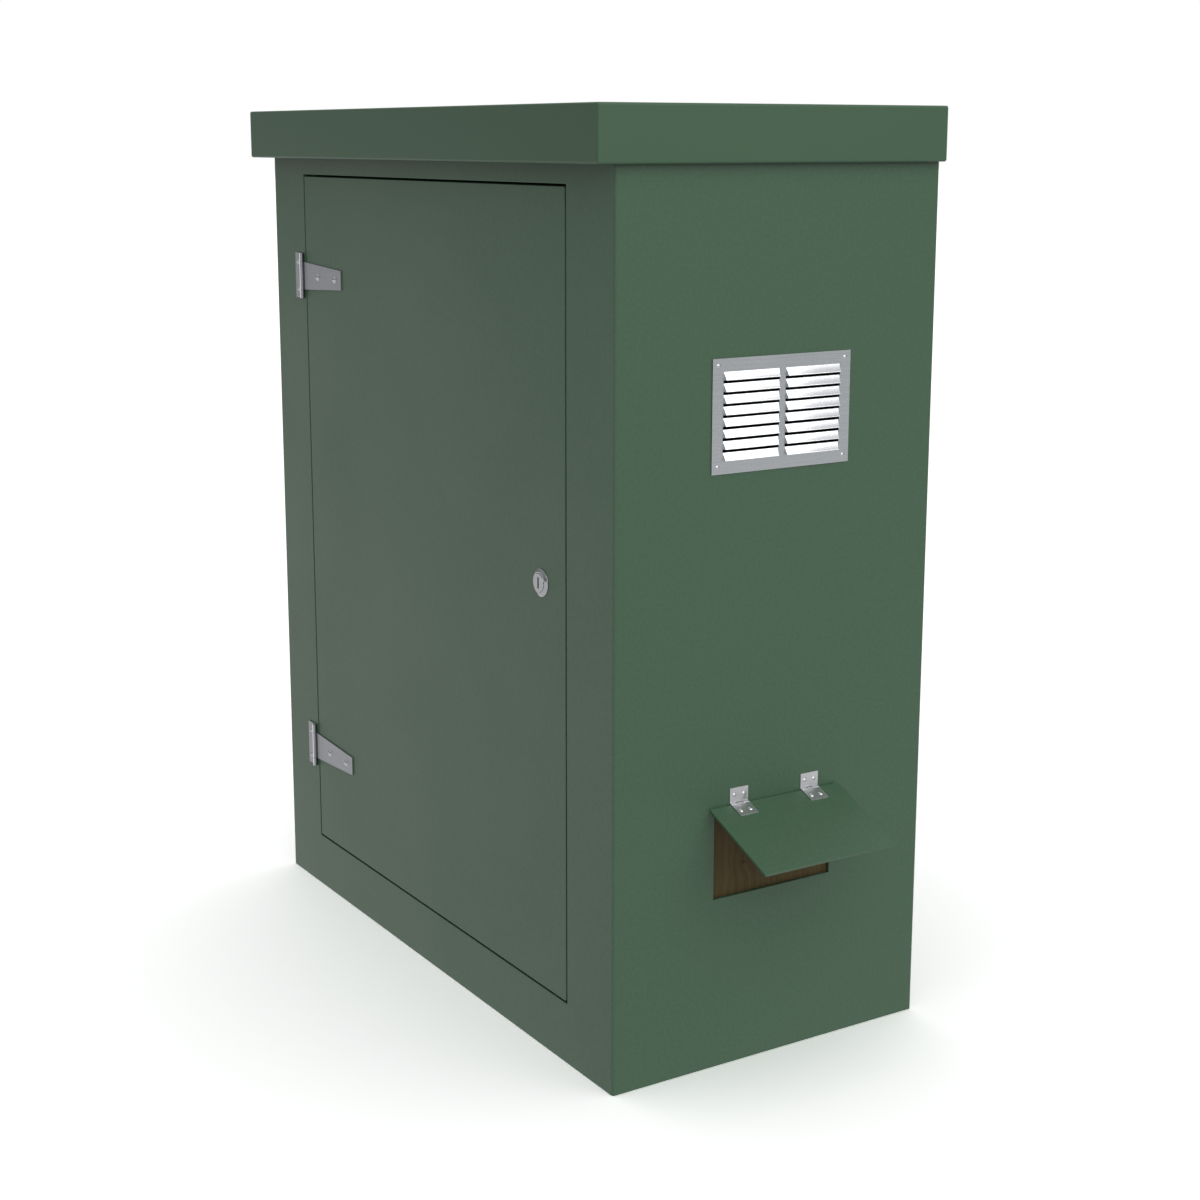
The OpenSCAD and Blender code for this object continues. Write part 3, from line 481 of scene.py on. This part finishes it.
# %% Hinge leaves and straps
pin_lo, pin_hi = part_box("upper_hinge_pin")
pin_x = (pin_lo.x + pin_hi.x) / 2
pin_y = (pin_lo.y + pin_hi.y) / 2
BARREL_R = 3.3 * MM
# distances from the pin that bound the strap's dark band, painted shade beside the roll
STRAP_SHADE_BAND = (BARREL_R + 0.3 * MM, BARREL_R + 4.4 * MM)
# angles round the pin that bound the barrel's pale band, a painted highlight
HIGHLIGHT_BAND = (math.radians(-116), math.radians(-66))
ON_PLANE = 0.001 * MM
ON_BARREL = 0.2 * MM


def rolled_part(node_name, body, shade_band):
    bm = soften(clean_copy(node_name), SHEARED_EDGE, 2)
    for away in shade_band:
        bmesh.ops.bisect_plane(bm, geom=bm.verts[:] + bm.edges[:] + bm.faces[:], dist=ON_PLANE,
                               plane_co=(pin_x + away, 0, 0), plane_no=(1, 0, 0))
    bm.normal_update()
    for face in bm.faces:
        spot = face.calc_center_median()
        from_pin = math.hypot(spot.x - pin_x, spot.y - pin_y)
        looks = math.atan2(face.normal.y, face.normal.x)
        # barrel faces that look into the band take the pale steel, a painted highlight
        if abs(from_pin - BARREL_R) < ON_BARREL and HIGHLIGHT_BAND[0] < looks < HIGHLIGHT_BAND[1]:
            face.material_index = 1
        # the flat strip beside the roll takes the dark steel as painted shade
        if shade_band and shade_band[0] < spot.x - pin_x < shade_band[1] and face.normal.y < -0.5:
            face.material_index = 2
    finish_piece(node_name + "_metal", bm, body,
                 [dull_zinc, painted_highlight_steel, wire_steel_and_painted_shade], [node_name])


for level in ("upper", "lower"):
    rolled_part(level + "_hinge_leaf", "cabinet", ())
    rolled_part(level + "_hinge_strap", "door", STRAP_SHADE_BAND)


# %% [markdown]
# ## Turned parts
# The door hinges' bolts, the vent's rivets and the lock's ring are round, so each is an outline of
# radius and height that is spun once round Z and then stood in its place. The spin is welded to itself
# and its poles are merged, then its normals are recalculated, because a spin can come out inside out.

# %% Turning helpers
def turned(outline, steps):
    bm = bmesh.new()
    verts = [bm.verts.new((radius, 0, height)) for radius, height in outline]
    edges = [bm.edges.new(pair) for pair in zip(verts, verts[1:])]
    bmesh.ops.spin(bm, geom=verts + edges, cent=(0, 0, 0), axis=(0, 0, 1), dvec=(0, 0, 0),
                   angle=2 * math.pi, steps=steps, use_merge=True)
    bmesh.ops.remove_doubles(bm, verts=bm.verts, dist=SAME_SPOT)
    bmesh.ops.recalc_face_normals(bm, faces=bm.faces)
    return bm


def add_part(whole, part, place):
    part.transform(place)
    passing = bpy.data.meshes.new("passing")
    part.to_mesh(passing)
    part.free()
    whole.from_mesh(passing)
    bpy.data.meshes.remove(passing)


DOME_POINTS = 7


def domed(radius, height):
    """Outline of a shallow dome from its top to its rim."""
    ball = (radius ** 2 + height ** 2) / (2 * height)
    rim = math.asin(min(1, radius / ball))
    turns = [rim * i / DOME_POINTS for i in range(DOME_POINTS + 1)]
    return [(ball * math.sin(turn), height - ball * (1 - math.cos(turn))) for turn in turns]


def threaded(radius, top, bottom, pitch=0.8 * MM, depth=0.3 * MM):
    """Outline of a thread as a stack of ridges, from top down to bottom."""
    ridges = int((top - bottom) / pitch)
    outline = []
    for i in range(ridges):
        outline += [(radius, top - i * pitch), (radius - depth, top - (i + 0.5) * pitch)]
    return outline + [(radius - depth, bottom), (0, bottom)]


FRONT_OUT = Matrix.Rotation(math.radians(90), 4, "X")  # a part stood along +Z turns to face -Y
SIDE_OUT = Matrix.Rotation(math.radians(90), 4, "Y")  # a part stood along +Z turns to face +X


# %% [markdown]
# ## Hinge bolts and nuts
# The straps are held by cup-headed bolts and the leaves by smaller ones. Each has a plain shank and a
# rolled thread where its nut goes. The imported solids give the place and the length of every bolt, and a
# head's underside sinks a hair into the sheet below it, so that no line of light shows there.

# %% Door hinge fixings
BOLT_R = 2.5 * MM
SUNK = 0.05 * MM  # how far a head's underside lies in the sheet
NUT_CHAMFER = 0.5 * MM
LEVEL = 1e-6  # an edge that rises less than this lies flat


def bolt_set(node_name, body, head_r, head_h, thread_l):
    whole = bmesh.new()
    for lo, hi in solids_of(node_name):
        middle = (lo + hi) / 2
        shank = (hi.y - lo.y) - head_h
        outline = domed(head_r, head_h) + [(head_r - 0.2 * MM, -SUNK), (BOLT_R, -SUNK)]
        outline += threaded(BOLT_R, thread_l - shank, -shank)
        place = Matrix.Translation((middle.x, lo.y + head_h, middle.z))
        add_part(whole, turned(outline, 28), place @ FRONT_OUT)
    finish_piece(node_name + "_turned", whole, body, [plated_bolt], [node_name], 30)


def hex_nuts(node_name, body):
    whole = bmesh.new()
    for lo, hi in solids_of(node_name):
        middle = (lo + hi) / 2
        tall = hi.y - lo.y
        across = (hi.x - lo.x) / 2
        bm = bmesh.new()
        bmesh.ops.create_cone(bm, cap_ends=True, segments=6, radius1=across, radius2=across, depth=tall)
        rims = [e for e in bm.edges if abs(e.verts[0].co.z - e.verts[1].co.z) < LEVEL]
        bmesh.ops.bevel(bm, geom=rims, offset=NUT_CHAMFER, offset_type="OFFSET", affect="EDGES",
                        segments=2, profile=0.5, material=-1)
        add_part(whole, bm, Matrix.Translation(middle) @ FRONT_OUT)
    finish_piece(node_name + "_hex", whole, body, [bright_zinc], [node_name], 30)


bolt_set("hinge_strap_bolts", "door", 5.5 * MM, 3 * MM, 9 * MM)
bolt_set("hinge_leaf_bolts", "cabinet", 4 * MM, 2.4 * MM, 7 * MM)
hex_nuts("hinge_strap_nuts", "door")
hex_nuts("hinge_leaf_nuts", "cabinet")

# %% [markdown]
# ## Vent
# A vent of this kind is stamped from one sheet: each louvre is slit along its lower edge and pushed
# out, so the metal stays joined along the top and both ends. A flat grid does the same here. Its
# lines are placed at the edges of the blades, the slots are deleted, the blades are pushed out on an
# almost straight slope with a slight crown, and solidify gives the sheet its thickness. The blades'
# faces take a paler, glossier copy of the flange's finish, a painted highlight, and the cheeks at their
# ends keep the flange's finish. BEND is how much of the slope is curved, LEAN how much the cheeks lean,
# and CROWN how much further a blade's middle stands out than its ends. ON_LINE and AT_END allow for spots
# that lie on a line of the grid.

# %% Pressed louvres
vent_lo, vent_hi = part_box("vent_grille")
FLANGE = 1.5 * MM
SHEET = 0.9 * MM
LOUVRE_ROWS = 8
PITCH = 14.48 * MM
SLOT = 3.9 * MM
COLUMN_W = 87.7 * MM
BAR_W = 9.4 * MM
LOUVRE_OUT = vent_hi.x - vent_lo.x - FLANGE
BLADE_H = PITCH - SLOT
vent_mid = (vent_lo + vent_hi) / 2
run_top = vent_mid.z + (PITCH * (LOUVRE_ROWS - 1) + BLADE_H) / 2
END_STEPS = (0, 0.2, 0.45, 0.7, 0.88, 1.0, 1.15, 1.4)
END_W = 2.0 * MM
INNER_SPANS = 8
LIP_FROM = 0.94
RISE_STEPS = (0, 0.03, 0.08, 0.16, 0.28, 0.42, 0.56, 0.70, 0.82, 0.90, LIP_FROM, 0.97, 1.0)
BEND = 0.124
LEAN = 0.6
CROWN = 0.08
ON_LINE = 1e-6
AT_END = 1e-7


def blade_out(along, down):
    """How far a blade stands out: along is the distance from its nearer end, down is 0 to 1."""
    slope = min(1, down / LIP_FROM)
    slope = (1 - BEND) * slope + BEND * slope ** 2
    end = min(1, along / (END_W * (1 - LEAN + LEAN * slope)))
    crown = 1 - CROWN + CROWN * math.sin(math.pi * min(1, along / (0.5 * COLUMN_W)) / 2)
    return LOUVRE_OUT * slope * end * crown


def grid_lines():
    columns = [vent_lo.y]
    for start in (-BAR_W / 2 - COLUMN_W, BAR_W / 2):
        ends = [END_W * s for s in END_STEPS]
        reach = END_W * END_STEPS[-1]
        inner = [reach + (COLUMN_W - 2 * reach) * i / INNER_SPANS for i in range(1, INNER_SPANS)]
        columns += [start + s for s in ends + inner + [COLUMN_W - s for s in reversed(ends)]]
    rows = [vent_hi.z]
    for i in range(LOUVRE_ROWS):
        rows += [run_top - i * PITCH - BLADE_H * s for s in RISE_STEPS]
    return columns + [vent_hi.y], rows + [vent_lo.z]


columns, rows = grid_lines()
bm = bmesh.new()
bmesh.ops.create_grid(bm, x_segments=len(columns) - 1, y_segments=len(rows) - 1, size=1)
for vert in bm.verts:
    i = round((vert.co.x + 1) / 2 * (len(columns) - 1))
    j = round((vert.co.y + 1) / 2 * (len(rows) - 1))
    vert.co = (vent_lo.x + FLANGE, columns[i], rows[j])
print("vent sheet:", len(columns), "by", len(rows), "lines")


def louvre_at(spot):
    """Distance from the nearer end and share of the way down, for a spot on a blade."""
    along = COLUMN_W / 2 - abs(abs(spot.y) - (BAR_W + COLUMN_W) / 2)
    below = run_top - spot.z
    row = min(LOUVRE_ROWS - 1, int((below + AT_END) / PITCH))
    return along, (below - row * PITCH) / BLADE_H


slots = []
for face in bm.faces:
    spot = face.calc_center_median()
    along, down = louvre_at(spot)
    if along > 0 and down > 1 + ON_LINE and spot.z > run_top - PITCH * (LOUVRE_ROWS - 1):
        slots.append(face)
bmesh.ops.delete(bm, geom=slots, context="FACES")
for vert in bm.verts:
    along, down = louvre_at(vert.co)
    if along > AT_END and -ON_LINE <= down <= 1 + ON_LINE and vert.co.z > vent_lo.z + ON_LINE:
        vert.co.x += blade_out(along, max(0, down))
bmesh.ops.recalc_face_normals(bm, faces=bm.faces)
if sum(face.normal.x for face in bm.faces) < 0:
    bmesh.ops.reverse_faces(bm, faces=bm.faces)
bmesh.ops.solidify(bm, geom=bm.faces[:], thickness=SHEET)
bm.normal_update()
# blade faces take the paler copy as a painted highlight; the cheeks and flange keep the plain finish
for face in bm.faces:
    pushed_out = face.calc_center_median().x > vent_lo.x + FLANGE + 0.15 * MM
    face.material_index = int(pushed_out and abs(face.normal.y) < 0.5)
finish_piece("vent_louvres", bm, "cabinet",
             [brushed_aluminium, louvre_highlight_aluminium], ["vent_grille"], 35)

# %% [markdown]
# ## Insect mesh
# Behind the vent is a woven wire mesh. Each wire bends over and under the ones that cross it, so one
# crimped wire is swept from a small ring and copied side by side, every second one shifted by a
# crossing. The wires have only a few sides, because there are over a hundred of them.

# %% Woven mesh
mesh_lo, mesh_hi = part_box("insect_mesh")
WIRE_R = 0.25 * MM
WEAVE = 3.0 * MM
mesh_x = (mesh_lo.x + mesh_hi.x) / 2


def crimped_wire(crossings, phase):
    """A wire along Z that weaves in X, starting at the origin."""
    bm = bmesh.new()
    ring = bmesh.ops.create_circle(bm, segments=5, radius=WIRE_R)["verts"]
    edges = bm.edges[:]
    bmesh.ops.translate(bm, verts=ring, vec=(phase * WIRE_R, 0, 0))
    side = phase
    for i in range(crossings):
        for lift in (-side, -side):
            made = bmesh.ops.extrude_edge_only(bm, edges=edges)["geom"]
            edges = [g for g in made if isinstance(g, bmesh.types.BMEdge)]
            verts = [g for g in made if isinstance(g, bmesh.types.BMVert)]
            bmesh.ops.translate(bm, verts=verts, vec=(lift * WIRE_R, 0, WEAVE / 2))
        side = -side
    bmesh.ops.holes_fill(bm, edges=bm.edges, sides=5)
    bmesh.ops.recalc_face_normals(bm, faces=bm.faces)
    return bm


def weave(count, crossings, start, step, turn):
    """Adds wires side by side, each a step from the one before and bent the other way."""
    for i in range(count):
        wire = crimped_wire(crossings, 1 if i % 2 else -1)
        add_part(woven, wire, Matrix.Translation(start + step * i) @ turn)


woven = bmesh.new()
wide = int((mesh_hi.y - mesh_lo.y - 2 * WIRE_R) / WEAVE)
tall = int((mesh_hi.z - mesh_lo.z - 2 * WIRE_R) / WEAVE)
corner_y = (mesh_lo.y + mesh_hi.y - wide * WEAVE) / 2
corner_z = (mesh_lo.z + mesh_hi.z - tall * WEAVE) / 2
corner = Vector((mesh_x, corner_y, corner_z))
half = WEAVE / 2
lying = Matrix.Rotation(math.radians(-90), 4, "X")
weave(wide, tall, corner + Vector((0, half, 0)), Vector((0, WEAVE, 0)), Matrix.Identity(4))
weave(tall, wide, corner + Vector((0, 0, half)), Vector((0, 0, WEAVE)), lying)
finish_piece("insect_mesh_woven", woven, "cabinet", [wire_steel_and_painted_shade], ["insect_mesh"], 60)


# %% [markdown]
# ## Rivets and screws
# The vent is fixed with dome-headed rivets, whose tails are pulled to a smaller head behind. The other
# screws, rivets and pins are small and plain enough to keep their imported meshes, and take a finish.

# %% Rivets, pins and small screws
RIVET_R = 1.6 * MM
RIVET_HEAD_R = 3 * MM
RIVET_HEAD_H = 1.3 * MM
TAIL_R = 2.1 * MM
rivets = bmesh.new()
for lo, hi in solids_of("vent_rivets"):
    middle = (lo + hi) / 2
    tail = RIVET_HEAD_H - (hi.x - lo.x)
    outline = domed(RIVET_HEAD_R, RIVET_HEAD_H)
    outline += [(RIVET_HEAD_R - 0.15 * MM, -0.03 * MM), (RIVET_R, -0.03 * MM), (RIVET_R, tail + 1.5 * MM),
                (TAIL_R, tail + 1.4 * MM), (TAIL_R, tail + 0.3 * MM), (1.7 * MM, tail), (0, tail)]
    place = Matrix.Translation((hi.x - RIVET_HEAD_H, middle.y, middle.z))
    add_part(rivets, turned(outline, 24), place @ SIDE_OUT)
finish_piece("vent_rivets_turned", rivets, "cabinet",
             [plated_bolt], ["vent_rivets"], 30)

KEPT = {
    "roof_bolts": bright_zinc, "backboard_screws": bright_zinc, "strike_rivets": bright_zinc,
    "upper_hinge_pin": dull_zinc, "lower_hinge_pin": dull_zinc, "lock_nut": bright_zinc,
    "cam_screw": bright_zinc, "flap_hinge_pins": bright_zinc, "flap_wall_screws": bright_zinc,
    "flap_rivets": bright_zinc,
}
for name, finish in KEPT.items():
    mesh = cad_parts[name].data
    mesh.materials.clear()
    mesh.materials.append(finish)

# %% [markdown]
# ## Lock
# The lock is a plated ring on the door with a round plug in it. The ring is turned from an outline
# with a rounded rim and a threaded barrel behind the door. The plug keeps its packed form, with the
# key slot, and gets softened edges. The faces inside the slot take the black rubber finish as painted
# shade in the recess.

# %% Lock
PLUG_BORE = 12.55 * MM
SHAFT_BORE = 7.05 * MM
BARREL_THREAD_R = 11 * MM
FLAT_R = 14.2 * MM
SKIRT_R = 18.5 * MM
SEAT = 1.0 * MM
KEY_SLOT = Vector((2.4, 4, 8)) * MM  # half its width, its depth and half its height
lock_lo, lock_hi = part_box("lock_body")
lock_mid = (lock_lo + lock_hi) / 2
door_face = skin_lo.y
stand = door_face - lock_lo.y
bezel_r = (lock_hi.x - lock_lo.x) / 2
barrel = lock_hi.y - door_face
outline = [(PLUG_BORE, SEAT), (PLUG_BORE, stand - 0.25 * MM), (PLUG_BORE + 0.25 * MM, stand),
           (FLAT_R, stand), (FLAT_R + 0.4 * MM, stand - 0.15 * MM), (SKIRT_R, 1.25 * MM),
           (SKIRT_R + 0.35 * MM, 1.05 * MM), (bezel_r, 0.75 * MM), (bezel_r, 0.05 * MM),
           (BARREL_THREAD_R, 0.0)]
outline += threaded(BARREL_THREAD_R, -0.5 * MM, -barrel, 1.0 * MM, 0.4 * MM)[:-1]
outline += [(SHAFT_BORE, -barrel), (SHAFT_BORE, SEAT), (PLUG_BORE, SEAT)]
ring = turned(outline, 64)
ring.transform(Matrix.Translation((lock_mid.x, door_face, lock_mid.z)) @ FRONT_OUT)
finish_piece("lock_ring", ring, "door", [lock_chrome], ["lock_body"], 30)
print("the lock ring stands", round(stand / MM, 2), "mm proud of the door")
plug = soften(clean_copy("lock_plug"), 0.25 * MM, 2)
plug_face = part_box("lock_plug")[0].y
# faces inside the key slot are painted black as shade in the recess
for face in plug.faces:
    spot = face.calc_center_median() - Vector((lock_mid.x, plug_face, lock_mid.z))
    if 0.03 * MM < spot.y < KEY_SLOT.y and abs(spot.x) < KEY_SLOT.x and abs(spot.z) < KEY_SLOT.z:
        face.material_index = 1
finish_piece("lock_plug_keyed", plug, "lock", [lock_chrome, black_rubber], ["lock_plug"])

# %% [markdown]
# ## Floor, background and light
# The cabinet stands on a plain white floor that runs out of sight into a white background. One wide
# soft panel stands beyond the vent side, and the surroundings grow brighter from the horizon up, so the
# light also falls from above. The floor and the background look brighter to the camera than they shine
# on the cabinet, as they do in a studio where the product is shaded from them. For the camera the floor
# is matt and takes the soft shadow of the surroundings, while the panel leaves it out. For every other
# ray it is an even glow, a little stronger in a reflection.

# %% Stage and light
PANEL_RADIANCE = 1.56
HORIZON_GLOW = 0.20
ZENITH_GLOW = 0.82
FLOOR_MATT = 2.05
FLOOR_GLOW = 0.42
FLOOR_GLOW_REFLECTED = 0.80


def light_panel(name, place, facing, wide, tall, radiance):
    data = bpy.data.lights.new(name, "AREA")
    data.shape = "RECTANGLE"
    data.size = wide
    data.size_y = tall
    data.energy = radiance * math.pi * wide * tall
    panel = bpy.data.objects.new(name, data)
    panel.location = place
    panel.rotation_euler = Vector(facing).to_track_quat("-Z", "Y").to_euler()
    panel.visible_camera = False
    bpy.context.scene.collection.objects.link(panel)
    return panel


side_panel = light_panel("side_panel", (8.0, -0.85, 9.6), (-1, 0, 0), 16.4, 14.6, PANEL_RADIANCE)

world = bpy.data.worlds.new("studio")
bpy.context.scene.world = world
world.use_nodes = True
tree = world.node_tree
tree.nodes.clear()
seen = node(tree, "LightPath").outputs["Is Camera Ray"]
up = node(tree, "SeparateXYZ", None, {0: node(tree, "TexCoord").outputs["Generated"]}).outputs[2]
dome = spread(tree, up, 0, 1, HORIZON_GLOW, ZENITH_GLOW)
glow = math_node(tree, "MAXIMUM", dome, seen)
sky = node(tree, "Background", None, {"Color": (1, 1, 1, 1), "Strength": glow})
tree.links.new(sky.outputs[0], node(tree, "OutputWorld").inputs["Surface"])

bm = bmesh.new()
bmesh.ops.create_grid(bm, x_segments=1, y_segments=1, size=60)
floor_mesh = bpy.data.meshes.new("floor")
bm.to_mesh(floor_mesh)
bm.free()
floor = bpy.data.objects.new("floor", floor_mesh)
bpy.context.scene.collection.objects.link(floor)
floor_white = bpy.data.materials.new("floor_white")
floor_white.use_nodes = True
tree = floor_white.node_tree
tree.nodes.clear()
rays = node(tree, "LightPath").outputs
matt = node(tree, "BsdfDiffuse", None, {"Color": (FLOOR_MATT, FLOOR_MATT, FLOOR_MATT, 1)})
shine = spread(tree, rays["Is Glossy Ray"], 0, 1, FLOOR_GLOW, FLOOR_GLOW_REFLECTED)
backlit = node(tree, "Emission", None, {"Color": (1, 1, 1, 1), "Strength": shine})
both = node(tree, "MixShader", None, {0: rays["Is Camera Ray"], 1: backlit.outputs[0], 2: matt.outputs[0]})
tree.links.new(both.outputs[0], node(tree, "OutputMaterial").inputs["Surface"])
floor_mesh.materials.append(floor_white)
unlit = bpy.data.collections.new("not_lit_by_side_panel")
unlit.objects.link(floor)
side_panel.light_linking.receiver_collection = unlit
unlit.collection_objects[0].light_linking.link_state = "EXCLUDE"
bpy.context.scene.view_settings.view_transform = "Standard"
